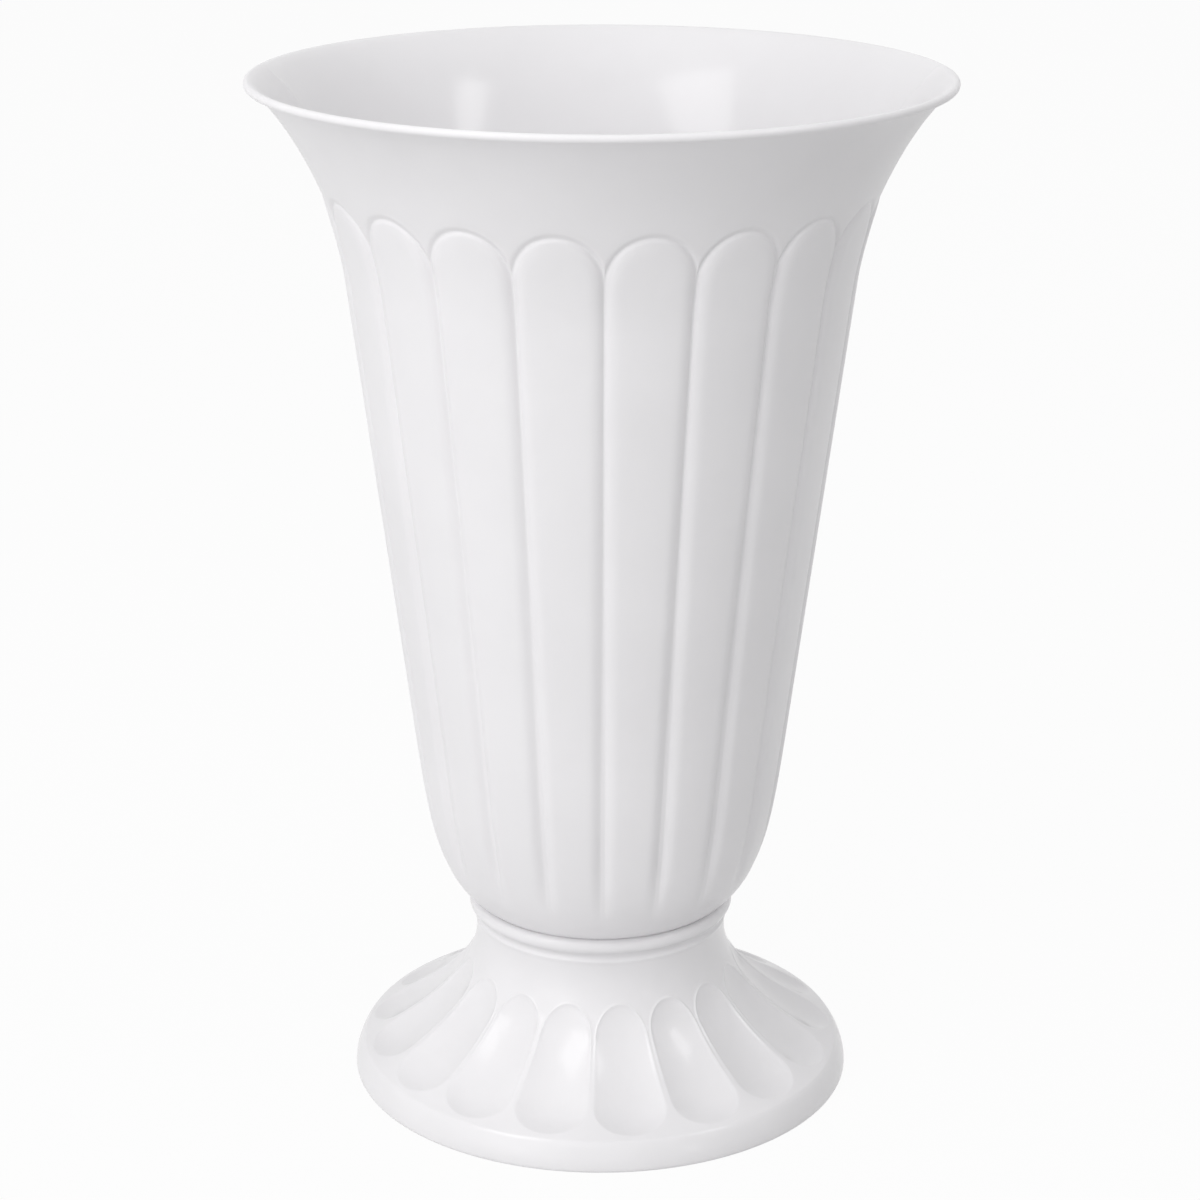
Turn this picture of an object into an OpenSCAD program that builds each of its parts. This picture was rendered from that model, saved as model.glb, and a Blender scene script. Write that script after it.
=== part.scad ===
// Two-part moulded flower vase. A trumpet-shaped body with raised petals stands in the ring of a hollow,
// scalloped foot, and three screws hold the two together from inside the foot.
// Millimetres, +Z up, with the origin on the ground under the middle of the vase and the front at -Y.

/* [Body outline] */
// Height of the rim above the ground
vase_h = 500; // [460:1:560]
// Diameter over the rolled rim
rim_d = 328; // [310:1:350]
// Thickness of the rolled rim
bead_d = 3.9; // [3:0.1:5]
// Outward slope of the band just under the rim, in mm per mm of height
rim_slope = 1.18; // [1:0.01:1.4]
// Diameter of the plain band where the tops of the petals meet it
band_d = 261.4; // [254:0.2:270]
// Drop from the rim to the tops of the petals
band_drop = 50; // [44:0.5:60]
// Outward slope of the band at the tops of the petals
band_slope = 0.43; // [0.35:0.01:0.5]
// Diameter over the petals at the top of the straight taper
taper_top_d = 239.8; // [234:0.2:244]
// Drop from the rim to the top of the straight taper
taper_top_drop = 95; // [88:0.5:120]
// Diameter over the petals at the bottom of the straight taper
taper_low_d = 183.6; // [174:0.2:192]
// Height of the bottom of the straight taper above the underside of the floor
taper_low_h = 97; // [88:0.5:110]
// Diameter of the bowl where it turns into the flat underside
floor_edge_d = 108; // [104:0.5:112]
// Rise of the bowl at that turn above the flat underside
floor_edge_h = 2; // [1:0.1:3]

/* [Body wall] */
// Thickness of the body's wall
wall = 2.5; // [2:0.1:3.2]
// Thickness of the body's floor
floor_t = 3; // [2.5:0.1:4]

/* [Petals] */
// Number of petals round the body
petals = 19; // [14:1:22]
// Angle from the front to the first groove, in degrees
petal_turn = 0.6; // [0:0.1:20]
// Depth of the grooves at the top of the straight taper
groove_top_depth = 2.4; // [1.6:0.1:3.6]
// Depth of the grooves at the bottom of the straight taper
groove_low_depth = 2.2; // [1.4:0.1:3.4]
// Width of the flat bottom of a groove
groove_floor_w = 1.6; // [0.8:0.1:2.4]
// Width of the rounded shoulder of a petal
shoulder_w = 6; // [4:0.1:9]
// Height of the rounded tops of the petals
arch_h = 22.8; // [16:0.2:26]
// Depth of the fine line that runs over the tops of the petals
line_depth = 0.6; // [0.3:0.1:1]
// Width of the fine line that runs over the tops of the petals
line_w = 2.4; // [1.5:0.1:3.4]
// Length over which the fine line dies away below the top of the straight taper
line_fade_h = 30; // [15:1:60]
// Height above the underside of the floor where the grooves have died away
groove_end_h = 18; // [15:0.5:24]
// Height above the underside of the floor where the grooves reach their full depth
groove_full_h = 52; // [44:0.5:64]

/* [Foot outline] */
// Diameter of the foot on the ground
foot_d = 248.8; // [236:0.2:262]
// Width of the foot's rounded outer edge, from the end of the flare to the widest line
lip_w = 5.3; // [3:0.1:10]
// Height of the top of the foot's outer edge
lip_h = 14.4; // [12:0.2:20]
// Diameter of the foot's neck
neck_d = 124.4; // [120:0.2:126]
// Height where the neck starts to flare
flare_top_h = 74; // [66:0.5:76]
// Height of the deck that carries the body
deck_h = 86; // [84:0.5:92]
// Diameter over the ring round the neck
ring_d = 131.4; // [129.4:0.2:134]
// Thickness of the ring
ring_t = 7.6; // [6:0.1:8]
// Rise of the ring's middle above the deck
ring_rise = 2.7; // [2:0.1:3]
// Depth of the narrow recess under the ring
recess_depth = 0.5; // [0.2:0.1:1]
// Clearance round the bowl where it stands in the ring
cup_clearance = 0.7; // [0.4:0.1:2]

/* [Foot wall] */
// Thickness of the foot's wall
foot_wall = 2.5; // [2:0.1:3.2]
// Thickness of the deck
deck_t = 2.5; // [2:0.1:4]
// Number of ribs under the deck
deck_ribs = 6; // [3:3:9]
// Thickness of a rib
rib_t = 2; // [1.5:0.1:3]
// Depth of a rib below the deck
rib_h = 9; // [5:0.5:14]

/* [Scallops] */
// Number of scallops round the foot
scallops = 17; // [14:1:22]
// Angle from the front to the middle of the first scallop, in degrees
scallop_turn = 8; // [0:0.1:20]
// Width of a scallop, as a share of its spacing
scallop_share = 0.92; // [0.7:0.01:0.95]
// Depth of a scallop near its top
scallop_top_depth = 2.2; // [1:0.1:4]
// Depth of a scallop near its bottom
scallop_low_depth = 3.7; // [2:0.1:6]
// Distance down the flare from the neck to the tops of the scallops
scallop_top_gap = 15.5; // [12:0.5:20]
// Distance along the flare from the bottoms of the scallops to the foot's outer edge
scallop_low_gap = 2.5; // [2.5:0.5:8]
// Length of a scallop's rounded ends
scallop_round = 16; // [10:0.5:22]

/* [Fixing screws] */
// Diameter of the circle that the screws stand on
screw_circle_d = 72; // [62:1:78]
// Diameter of a screw's thread
screw_d = 4; // [3.5:0.1:5]
// Length of a screw under its head
screw_len = 12; // [10:0.5:13]
// Diameter of a screw's head
screw_head_d = 8; // [7:0.1:9]
// Height of a screw's head
screw_head_h = 2.8; // [2.2:0.1:3.5]
// Width of the cross slots in a screw's head
slot_w = 1.2; // [0.8:0.1:1.6]
// Diameter of the bosses that the screws turn into
boss_d = 12; // [10:0.5:14]
// Height of the bosses above the underside of the floor
boss_h = 15; // [14:0.5:20]
// Clearance round a screw's thread in its boss
thread_clearance = 0.1; // [0.05:0.01:0.2]
// Clearance round a screw in the deck
screw_clearance = 0.3; // [0.2:0.05:0.5]

/* [Drain] */
// Diameter of the drain hole in the floor
drain_d = 16; // [12:0.5:20]
// Wall of the spigot round the drain hole
spigot_wall = 6; // [4:0.5:8]
// Length of the spigot below the floor
spigot_len = 5; // [3:0.5:8]
// Clearance between the spigot and the deck
spigot_clearance = 0.5; // [0.3:0.1:1]
// Clearance round the plug in the drain hole
plug_clearance = 0.3; // [0.2:0.05:0.5]
// Diameter of the plug's flange
plug_flange_d = 34; // [28:0.5:40]
// Thickness of the plug's flange
plug_flange_t = 2.5; // [2:0.1:4]
// Diameter of the plug's grip
grip_d = 11; // [9:0.5:14]
// Height of the plug's grip above its flange
grip_h = 9; // [6:0.5:14]

/* [Hidden] */
$fn = 96;

// Heights and radii of the body's outline.
body_z = deck_h;
band_z = vase_h - band_drop;
cusp_z = band_z - arch_h;
taper_top_z = vase_h - taper_top_drop;
taper_low_z = body_z + taper_low_h;
groove_end_z = body_z + groove_end_h;
groove_full_z = body_z + groove_full_h;
floor_top_z = body_z + floor_t;
band_r = band_d / 2;
taper_top_r = taper_top_d / 2;
taper_low_r = taper_low_d / 2;
taper_slope = (taper_top_r - taper_low_r) / (taper_top_z - taper_low_z);
floor_edge_r = floor_edge_d / 2;
bead_r = bead_d / 2;
bead_mid = [rim_d / 2 - bead_r, vase_h - bead_r];
mouth_r = bead_mid[0] - 0.7 * bead_r;

// Pulls of the curves' ends, as shares of the height or width that each curve spans.
bowl_low_pull = 0.73;
bowl_top_pull = 0.53;
shoulder_pull = 0.33;
groove_pull = 0.45;
lip_low_pull = 0.29;
lip_top_pull = 0.23;
flare_top_pull = 0.54;
flare_low_pull = 0.12;

// Rise or spread per mm at those ends.
bowl_low_slope = 0.41;
shoulder_top_slope = 0.7 * band_slope;
flare_low_slope = 0.45;

// Straight part of a groove's side, as a share of the shoulder.
flank_share = 0.15;

// Heights and radii of the foot's outline.
neck_r = neck_d / 2;
foot_r = foot_d / 2;
lip_top_r = foot_r - lip_w;
ring_r = ring_t / 2;
ring_mid = [ring_d / 2 - ring_r, deck_h + ring_rise];
deck_low_z = deck_h - deck_t;
screws = 3;
screw_ring_r = screw_circle_d / 2;
drain_r = drain_d / 2;
spigot_r = drain_r + spigot_wall;

// Steps of the curves, and how far each form reaches into the one beside it.
curve_steps = 24;
join_h = 2;
join_in = 8;
cut = 1;
plate_steps = 12;

function bezier(a, b, c, d, steps) = [
    for (i = [0:steps])
        let (t = i / steps, s = 1 - t)
        s * s * s * a + 3 * s * s * t * b + 3 * s * t * t * c + t * t * t * d
];
function swapped(points) = [for (p = points) [p[1], p[0]]];
function tail(points) = [for (i = [1:len(points) - 1]) points[i]];
function smooth(t) = let (s = min(max(t, 0), 1)) s * s * (3 - 2 * s);
function mix(a, b, t) = a + (b - a) * t;
function polar(r, angle, z) = [r * sin(angle), -r * cos(angle), z];
// The line moved sideways by d, to the right of its direction.
function beside(line, d) = [
    for (i = [0:len(line) - 1])
        let (along = line[min(i + 1, len(line) - 1)] - line[max(i - 1, 0)])
        line[i] + d * [along[1], -along[0]] / norm(along)
];

// Outline over the petals and up the plain band, as [radius, height] from the floor's edge to the rim.
bowl_line = let (
        low = [floor_edge_r, body_z + floor_edge_h],
        top = [taper_low_r, taper_low_z],
        low_pull = bowl_low_pull * (top[0] - low[0]),
        top_pull = bowl_top_pull * (top[1] - low[1]))
    bezier(low, low + low_pull * [1, bowl_low_slope], top - top_pull * [taper_slope, 1], top, curve_steps);
shoulder_line = let (
        low = [taper_top_r, taper_top_z],
        top = [band_r, band_z],
        pull = shoulder_pull * (top[1] - low[1]))
    bezier(low, low + pull * [taper_slope, 1], top - pull * [shoulder_top_slope, 1], top, curve_steps);
lip_line = let (low = [band_r, band_z], top = [bead_mid[0], bead_mid[1]])
    bezier(low, low + lip_low_pull * band_drop * [band_slope, 1],
        top - lip_top_pull * band_drop * [rim_slope, 1], top, curve_steps);
crown_table = swapped(concat(bowl_line, shoulder_line, tail(lip_line)));

// Outline along the bottoms of the grooves, from the straight taper up between the petals to the band.
groove_line = let (
        low = [taper_top_r - groove_top_depth + line_depth, taper_top_z],
        top = [band_r, band_z],
        span = top[1] - low[1])
    bezier(low, low + shoulder_pull * span * [taper_slope, 1],
        top - groove_pull * span * [band_slope, 1], top, curve_steps);
groove_table = swapped(concat(groove_line, tail(lip_line)));

function crown_r(z) = lookup(z, crown_table);
function petal_fade(z) = smooth((z - groove_end_z) / (groove_full_z - groove_end_z));
function line_fade(z) = smooth((z - taper_top_z) / line_fade_h + 1);
function low_groove(z) = let (along = (z - taper_low_z) / (taper_top_z - taper_low_z))
    mix(groove_low_depth, groove_top_depth, min(max(along, 0), 1)) * petal_fade(z) - line_depth * line_fade(z);
function groove_r(z) = z < taper_top_z ? crown_r(z) - low_groove(z) : lookup(z, groove_table);
function slope_at(z) = let (h = min(max(z, body_z + floor_edge_h + 0.5), bead_mid[1] - 0.5))
    crown_r(h + 0.5) - crown_r(h - 0.5);
function wall_r(z) = wall * sqrt(1 + slope_at(z) * slope_at(z));

// How far a point lies from the middle line of its petal: 1 is on the petal's outline.
function petal_out(u, z) = z < cusp_z ? abs(u) : sqrt(u * u + pow((z - cusp_z) / arch_h, 2));
function half_petal_w(r) = PI * r / petals;
function fine_line(out) = exp(-pow((out - 1) * half_petal_w(band_r) / (line_w / 2), 2));
// A petal's height over its groove, from 0 on the flat bottom to 1 on its face, across a shoulder w wide.
function shoulder(out, z, w) = let (
        half = half_petal_w(crown_r(z)),
        reach = (1 - out) * half - groove_floor_w / 2,
        t = min(max(reach / min(w, 0.95 * half), 0), 1),
        u = max(t, flank_share),
        steep = 2 / (1 + flank_share))
    1 - steep * (1 - u) * (1 - u) / (2 * (1 - flank_share)) + steep * (t - u);
function outer_r(u, z) = let (out = petal_out(u, z), rise = max(crown_r(z) - groove_r(z), 0))
    groove_r(z) + rise * shoulder(out, z, shoulder_w) - line_depth * fine_line(out) * line_fade(z);
function inner_r(u, z) = let (out = petal_out(u, z), rise = max(crown_r(z) - groove_r(z), 0))
    groove_r(z) + rise * shoulder(out, z, 2 * shoulder_w) - wall_r(z);

// Rows of points down the body. A row that is a pair follows the arch of a petal:
// [how far out on the petal, drop below the arch].
arch_rows = [[1.12, 0], [1.05, 0], [1, 0], [0.972, 0.5], [0.93, 1.4], [0.86, 2.8], [0.76, 5], [0.6, 9]];
form_top_z = band_z + 5;
outer_rows = concat(
    [form_top_z],
    arch_rows,
    [mix(taper_top_z, cusp_z, 0.3), taper_top_z, mix(taper_top_z, taper_low_z, 0.5), taper_low_z],
    [for (share = [0.8, 0.6, 0.42, 0.28, 0.16, 0.07, 0]) mix(groove_end_z, taper_low_z, share)]);
inner_rows = concat(
    [form_top_z, band_z - 2, mix(cusp_z, band_z, 0.5), cusp_z, mix(taper_top_z, cusp_z, 0.5),
     taper_top_z, taper_low_z],
    [for (share = [0.7, 0.45, 0.25, 0.1, 0]) mix(groove_end_z, taper_low_z, share)]);
outer_columns = [-1, -0.955, -0.88, -0.79, -0.64, -0.32, 0, 0.32, 0.64, 0.79, 0.88, 0.955];
inner_columns = [-1, -0.75, -0.45, 0, 0.45, 0.75];

function row_z(row, u) = is_list(row)
    ? cusp_z - row[1] + arch_h * sqrt(max(row[0] * row[0] - u * u, 0))
    : row;
function petal_angle(k, u) = petal_turn + (k + (u + 1) / 2) * 360 / petals;
function outer_ring(row) = [
    for (k = [0:petals - 1], u = outer_columns)
        let (z = row_z(row, u))
        polar(outer_r(u, z), petal_angle(k, u), z)
];
function inner_ring(z) = [
    for (k = [0:petals - 1], u = inner_columns)
        polar(inner_r(u, z), petal_angle(k, u), z)
];

// A solid from rings of points that all have the same count, from the top down,
// closed by a flat face at each end.
module ring_stack(rings) {
    n = len(rings[0]);
    last = (len(rings) - 1) * n;
    sides = [
        for (j = [0:len(rings) - 2], i = [0:n - 1])
            let (a = j * n + i, b = j * n + (i + 1) % n)
            each [[a, b, b + n], [a, b + n, a + n]]
    ];
    first_end = [for (i = [0:n - 1]) n - 1 - i];
    last_end = [for (i = [0:n - 1]) last + i];
    polyhedron([for (ring = rings) each ring], concat(sides, [first_end, last_end]), convexity = 10);
}

// How far a round form stays inside the flat-sided ring that it meets.
function join_gap(r, step) = r * (1 - cos(step / 2)) + 0.02;
outer_step = 0.32 * 180 / petals;
inner_step = 0.45 * 180 / petals;

// The plain band above the petals, with the rolled rim.
band_points = let (gap = join_gap(band_r, outer_step))
    concat([[band_r - join_in, form_top_z - join_h]],
        [for (i = [0:curve_steps])
            let (z = mix(form_top_z, bead_mid[1], i / curve_steps))
            [crown_r(z) - gap, z]]);
module band_form() {
    rotate_extrude()
        polygon(concat([[0, form_top_z - join_h]], band_points,
            [[bead_mid[0], vase_h], [0, vase_h]]));
    rotate_extrude()
        translate(bead_mid)
            circle(r = bead_r);
}
module band_hollow() {
    gap = join_gap(band_r, inner_step);
    low_r = crown_r(form_top_z) - wall_r(form_top_z) - gap;
    rotate_extrude()
        polygon(concat(
            [[0, form_top_z - join_h], [low_r - join_in, form_top_z - join_h]],
            [for (i = [0:curve_steps])
                let (z = mix(form_top_z, bead_mid[1], i / curve_steps))
                [crown_r(z) - wall_r(z) - gap, z]],
            [[mouth_r, vase_h], [mouth_r, vase_h + cut], [0, vase_h + cut]]));
}

// The bowl under the petals, with the flat floor.
module bowl_form() {
    gap = join_gap(crown_r(groove_end_z), outer_step);
    rotate_extrude()
        polygon(concat(
            [[0, body_z], [floor_edge_r - 2 * floor_edge_h, body_z]],
            [for (i = [0:curve_steps])
                let (z = mix(body_z + floor_edge_h, groove_end_z, i / curve_steps))
                [crown_r(z) - gap, z]],
            [[crown_r(groove_end_z) - join_in, groove_end_z + join_h], [0, groove_end_z + join_h]]));
}
module bowl_hollow() {
    gap = join_gap(crown_r(groove_end_z), inner_step);
    rotate_extrude()
        polygon(concat(
            [[0, floor_top_z]],
            [for (i = [0:curve_steps])
                let (z = mix(floor_top_z, groove_end_z, i / curve_steps))
                [crown_r(z) - wall_r(z) - gap, z]],
            [[crown_r(groove_end_z) - wall_r(groove_end_z) - join_in, groove_end_z + join_h],
             [0, groove_end_z + join_h]]));
}
module at_screws() {
    for (i = [1:screws])
        at_screw(i)
            children();
}
module at_screw(i) {
    rotate([0, 0, (i - 0.75) * 360 / screws])
        translate([screw_ring_r, 0, 0])
            children();
}

module vase_body() {
    color("#f4f4f2")
    difference() {
        union() {
            difference() {
                union() {
                    ring_stack([for (row = outer_rows) outer_ring(row)]);
                    band_form();
                    bowl_form();
                }
                ring_stack([for (z = inner_rows) inner_ring(z)]);
                band_hollow();
                bowl_hollow();
            }
            translate([0, 0, body_z - spigot_len])
                cylinder(h = spigot_len + floor_t / 2, r = spigot_r);
            at_screws()
                translate([0, 0, body_z + floor_t / 2])
                    cylinder(h = boss_h - floor_t / 2, d = boss_d);
        }
        translate([0, 0, body_z - spigot_len - cut])
            cylinder(h = spigot_len + floor_t + 2 * cut, r = drain_r);
        at_screws()
            translate([0, 0, body_z - cut])
                cylinder(h = screw_len - deck_t + 2 * cut, d = screw_d + 2 * thread_clearance);
    }
}

// The foot's outline down the flare, and the length along it.
flare_line = let (
        top = [neck_r, flare_top_h],
        low = [lip_top_r, lip_h])
    bezier(top, top - [0, flare_top_pull * (flare_top_h - lip_h)],
        low + flare_low_pull * (lip_top_r - neck_r) * [-1, flare_low_slope], low, curve_steps);
flare_steps = [
    for (i = 0, s = 0;
            i <= curve_steps;
            s = s + norm(flare_line[min(i + 1, curve_steps)] - flare_line[i]), i = i + 1)
        s
];
flare_len = flare_steps[curve_steps];
flare_r_table = [for (i = [0:curve_steps]) [flare_steps[i], flare_line[i][0]]];
flare_z_table = [for (i = [0:curve_steps]) [flare_steps[i], flare_line[i][1]]];
function flare_at(s) = [lookup(s, flare_r_table), lookup(s, flare_z_table)];
function flare_out(s) = let (d = flare_at(s + 1) - flare_at(s - 1)) [-d[1], d[0]] / norm(d);

// Scallops: u runs across one from edge to edge, s runs down the flare.
scallop_top_s = scallop_top_gap + scallop_round;
scallop_low_s = flare_len - scallop_low_gap - scallop_round;
function past_end(s) = max(scallop_top_s - s, s - scallop_low_s, 0) / scallop_round;
function scallop_depth(s) = let (along = (s - scallop_top_s) / (scallop_low_s - scallop_top_s))
    mix(scallop_top_depth, scallop_low_depth, min(max(along, 0), 1));
function dip(u, s) = scallop_depth(s) * max(1 - pow(u / scallop_share, 2) - pow(past_end(s), 2), 0);
function foot_point(u, s, inset) = flare_at(s) - (inset + dip(u, s)) * flare_out(s);

// Rows of points down the flare. Each row is [end of the scallop, how far out it follows that end, drop].
flare_join_top = scallop_top_gap - 2;
flare_join_low = flare_len - scallop_low_gap + 1.5;
end_rows = [[1, 0], [0.86, 0.8], [0.66, 2], [0.38, 4]];
scallop_mid = (scallop_top_s + scallop_low_s) / 2;
scallop_rows = concat(
    [[0, flare_join_top]],
    [for (row = end_rows) [-row[0], scallop_top_s + row[1]]],
    [for (share = [0.25, 0.5, 0.75]) [0, mix(scallop_top_s, scallop_low_s, share)]],
    [for (i = [len(end_rows) - 1:-1:0]) [end_rows[i][0], scallop_low_s - end_rows[i][1]]],
    [[0, flare_join_low]]);
flare_hollow_rows = [flare_join_top, scallop_top_s - 0.7 * scallop_round, scallop_top_s, scallop_mid,
    scallop_low_s, scallop_low_s + 0.7 * scallop_round, flare_join_low];
scallop_columns = [-1, -0.92, -0.76, -0.5, 0, 0.5, 0.76, 0.92];
scallop_hollow_columns = [-1, -0.7, -0.4, 0, 0.4, 0.7];

function scallop_s(row, u) = let (side = sign(row[0]), across = u / scallop_share)
    row[1] + side * scallop_round * sqrt(max(row[0] * row[0] - across * across, 0));
function scallop_angle(k, u) = scallop_turn + (k + u / 2) * 360 / scallops;
function foot_polar(p, angle) = polar(p[0], angle, p[1]);
function flare_ring(row) = [
    for (k = [0:scallops - 1], u = scallop_columns)
        foot_polar(foot_point(u, scallop_s(row, u), 0), scallop_angle(k, u))
];
function flare_hollow_ring(s) = [
    for (k = [0:scallops - 1], u = scallop_hollow_columns)
        foot_polar(foot_point(u, s, foot_wall), scallop_angle(k, u))
];

scallop_step = 0.5 * 180 / scallops;
function inner_flare(s) = flare_at(s) - foot_wall * flare_out(s);
neck_inner_r = neck_r - foot_wall;

// The neck above the scallops, with the ledge, the recess and the ring over it.
neck_steps = 8;
ledge_z = mix(flare_top_h, ring_mid[1] - ring_r, 0.62);
ledge_h = 1;
recess_slope_h = 1.5;
module neck_form() {
    low = flare_at(flare_join_top);
    gap = join_gap(low[0], scallop_step);
    rotate_extrude()
        polygon(concat(
            [[0, low[1] - join_h], [low[0] - join_in, low[1] - join_h]],
            [for (i = [0:neck_steps]) flare_at(flare_join_top * (1 - i / neck_steps)) - [gap, 0]],
            [[neck_r + recess_depth, ledge_z - ledge_h], [neck_r + recess_depth, ledge_z],
             [neck_r - recess_depth, ledge_z + recess_slope_h], [neck_r - recess_depth, ring_mid[1]],
             [0, ring_mid[1]]]));
    rotate_extrude()
        polygon(concat([[0, deck_low_z]], [for (a = [-90:10:90]) ring_mid + ring_r * [cos(a), sin(a)]],
            [[0, ring_mid[1] + ring_r]]));
}
module neck_hollow() {
    low = inner_flare(flare_join_top);
    gap = join_gap(low[0], scallop_step);
    rotate_extrude()
        polygon(concat(
            [[0, low[1] - join_h], [low[0] - join_in, low[1] - join_h]],
            [for (i = [0:neck_steps]) inner_flare(flare_join_top * (1 - i / neck_steps)) - [gap, 0]],
            [[neck_inner_r - gap, deck_low_z], [0, deck_low_z]]));
}

// The outer edge of the foot, down to the flat ring that it stands on.
edge_bevel = 1;
edge_top_pull = 0.12 * lip_h;
edge_low_pull = 0.4 * lip_h;
edge_line = let (
        top = [lip_top_r, lip_h],
        low = [foot_r, edge_bevel])
    bezier(top, top + edge_top_pull * [1, -flare_low_slope], low + [0, edge_low_pull], low, plate_steps);
module lip_form() {
    top = flare_at(flare_join_low);
    gap = join_gap(top[0], scallop_step);
    rotate_extrude()
        polygon(concat(
            [[0, 0], [foot_r - edge_bevel, 0]],
            [for (i = [len(edge_line) - 1:-1:0]) edge_line[i]],
            [top - [gap, 0], top + [-2 * join_in, join_h], [0, top[1] + join_h]]));
}
module lip_hollow() {
    top = inner_flare(flare_join_low);
    gap = join_gap(top[0], scallop_step);
    inner_edge = beside(edge_line, foot_wall);
    rotate_extrude()
        polygon(concat(
            [[0, -cut], [foot_r - foot_wall, -cut]],
            [for (i = [len(inner_edge) - 1:-2:0]) if (inner_edge[i][1] < top[1]) inner_edge[i]],
            [top - [gap, 0], top + [-2 * join_in, join_h], [0, top[1] + join_h]]));
}

// The space that the body's bowl drops into, down to the deck.
module cup_hollow() {
    top_z = ring_mid[1] + ring_r + cut;
    rotate_extrude()
        polygon(concat(
            [[0, deck_h], [neck_inner_r, deck_h]],
            [for (i = [0:plate_steps])
                let (z = mix(deck_h + floor_edge_h, top_z, i / plate_steps))
                [max(neck_inner_r, crown_r(z) + cup_clearance), z]],
            [[0, top_z]]));
}
module deck_ribs_form() {
    rib_in = spigot_r + spigot_clearance;
    translate([0, 0, deck_low_z - rib_h])
        difference() {
            union() {
                cylinder(h = rib_h + deck_t / 2, r = rib_in + rib_t);
                for (i = [0:deck_ribs - 1])
                    rotate([0, 0, i * 360 / deck_ribs])
                        translate([rib_in + rib_t / 2, -rib_t / 2, 0])
                            cube([neck_r - foot_wall / 2 - rib_in - rib_t / 2, rib_t, rib_h + deck_t / 2]);
            }
            translate([0, 0, -cut])
                cylinder(h = rib_h + deck_t + 2 * cut, r = rib_in);
        }
}

module foot() {
    color("#f7f7f6")
    difference() {
        union() {
            difference() {
                union() {
                    ring_stack([for (row = scallop_rows) flare_ring(row)]);
                    neck_form();
                    lip_form();
                }
                ring_stack([for (s = flare_hollow_rows) flare_hollow_ring(s)]);
                neck_hollow();
                lip_hollow();
            }
            deck_ribs_form();
        }
        cup_hollow();
        translate([0, 0, deck_low_z - cut])
            cylinder(h = deck_t + 2 * cut, r = spigot_r + spigot_clearance);
        at_screws()
            translate([0, 0, deck_low_z - cut])
                cylinder(h = deck_t + 2 * cut, d = screw_d + 2 * screw_clearance);
    }
}

// A pan-head screw, pointing up, with its head against the underside of the deck.
head_flat_r = 0.28 * screw_head_d;
head_round_r = 0.44 * screw_head_d;
head_round_h = 0.7 * screw_head_h;
head_edge_h = 0.3 * screw_head_h;
tip_h = screw_d / 2;
tip_r = 0.2 * screw_d;
slot_len = 0.6 * screw_head_d;
slot_depth = 0.55 * screw_head_h;
module fixing_screw(i) {
    color("#c9ccd0")
    at_screw(i)
        translate([0, 0, deck_low_z])
            difference() {
                rotate_extrude()
                    polygon([[0, -screw_head_h], [head_flat_r, -screw_head_h],
                        [head_round_r, -head_round_h], [screw_head_d / 2, -head_edge_h],
                        [screw_head_d / 2, 0], [screw_d / 2, 0], [screw_d / 2, screw_len - tip_h],
                        [tip_r, screw_len], [0, screw_len]]);
                for (turn = [0, 90])
                    rotate([0, 0, turn])
                        translate([-slot_len / 2, -slot_w / 2, -screw_head_h - cut])
                            cube([slot_len, slot_w, slot_depth + cut]);
            }
}

// The drain plug: a stem with a tapered end, a flange that rests on the floor, and a waisted grip.
stem_r = drain_r - plug_clearance;
stem_low_z = body_z - spigot_len + 1;
stem_taper_h = 2;
stem_taper = 1;
flange_r = plug_flange_d / 2;
flange_top_z = floor_top_z + plug_flange_t;
flange_round = 0.4 * plug_flange_t;
waist_r = 0.38 * grip_d;
waist_z = flange_top_z + 0.3 * grip_h;
grip_r = grip_d / 2;
grip_low_z = flange_top_z + 0.7 * grip_h;
grip_top_z = flange_top_z + grip_h;
grip_round = 1;
module drain_plug() {
    color("#e9e9e6")
    rotate_extrude()
        polygon(concat(
            [[0, stem_low_z], [stem_r - stem_taper, stem_low_z], [stem_r, stem_low_z + stem_taper_h],
             [stem_r, floor_top_z], [flange_r, floor_top_z]],
            [for (a = [0:30:90])
                [flange_r - flange_round * (1 - cos(a)), flange_top_z - flange_round * (1 - sin(a))]],
            [[grip_r, flange_top_z], [waist_r, waist_z], [grip_r, grip_low_z],
             [grip_r, grip_top_z - grip_round], [grip_r - grip_round, grip_top_z], [0, grip_top_z]]));
}

vase_body();
foot();
fixing_screw(1);  // fixing_screw_1
fixing_screw(2);  // fixing_screw_2
fixing_screw(3);  // fixing_screw_3
drain_plug();
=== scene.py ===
import math

import bpy
import numpy as np
from mathutils import Matrix, Vector


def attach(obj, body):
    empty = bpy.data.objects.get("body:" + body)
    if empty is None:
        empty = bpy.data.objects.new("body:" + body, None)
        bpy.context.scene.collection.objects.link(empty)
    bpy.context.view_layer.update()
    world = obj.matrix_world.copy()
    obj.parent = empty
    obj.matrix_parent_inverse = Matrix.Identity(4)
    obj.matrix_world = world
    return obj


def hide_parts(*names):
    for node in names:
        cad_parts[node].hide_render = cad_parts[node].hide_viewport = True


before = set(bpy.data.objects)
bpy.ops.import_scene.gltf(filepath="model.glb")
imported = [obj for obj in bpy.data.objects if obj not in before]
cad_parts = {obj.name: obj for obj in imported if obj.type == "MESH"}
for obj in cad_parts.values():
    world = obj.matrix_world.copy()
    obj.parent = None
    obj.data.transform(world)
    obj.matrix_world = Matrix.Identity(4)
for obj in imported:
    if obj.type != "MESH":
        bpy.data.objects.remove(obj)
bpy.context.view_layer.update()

# Two-part moulded flower vase: a body with raised petals on a hollow scalloped foot.
# Sizes are in millimetres here and become metres where a mesh is made.
mm = 0.001
sharpAngle = 50  # degrees between faces above which an edge stays sharp
weldDistance = 0.01
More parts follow.
